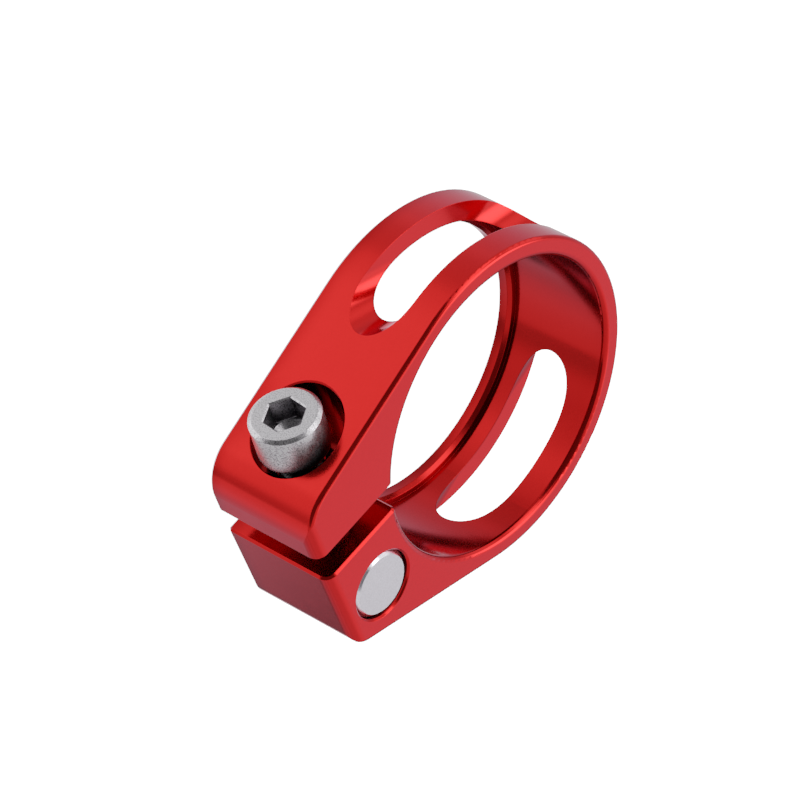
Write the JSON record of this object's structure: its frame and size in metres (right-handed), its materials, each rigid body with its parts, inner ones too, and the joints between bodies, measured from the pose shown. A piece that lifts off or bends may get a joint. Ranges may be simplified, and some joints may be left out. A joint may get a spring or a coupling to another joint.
{
  "type": "seatpost clamp",
  "caption": "Slit ring collar with two lugs, windowed sides and an inner lip, drawn shut by a socket head screw that threads into a cross dowel.",
  "frame": {"origin": "on the axis of the bore, in the face of the collar at its lip end", "axes": "+Z along the bore towards its open mouth, the way the seat tube enters from; -Y towards the lugs; the screw runs along X with its head at -X. In use the lip is on top, so -Z is up."},
  "size_m": [0.0394, 0.0488, 0.0145],
  "materials": {
    "collar_anodised": "satin red anodised",
    "screw_steel": "plain stainless",
    "nut_steel": "turned stainless"
  },
  "bodies": {
    "collar": {"collar": "collar_anodised"},
    "barrel_nut": {"barrel_nut": "nut_steel"},
    "clamp_bolt": {"clamp_bolt": "screw_steel"}
  },
  "joints": [
    {"name": "nut_swivel", "type": "hinge", "parent": "collar", "child": "barrel_nut", "pos_m": [0.0066, -0.02215, 0.00725], "axis": [0, 0, 1], "range_deg": [-1.3, 1.3]},
    {"name": "bolt_turn", "type": "hinge", "parent": "barrel_nut", "child": "clamp_bolt", "pos_m": [-0.01695, -0.02215, 0.00725], "axis": [1, 0, 0], "range_deg": [-1080, 830]}
  ]
}
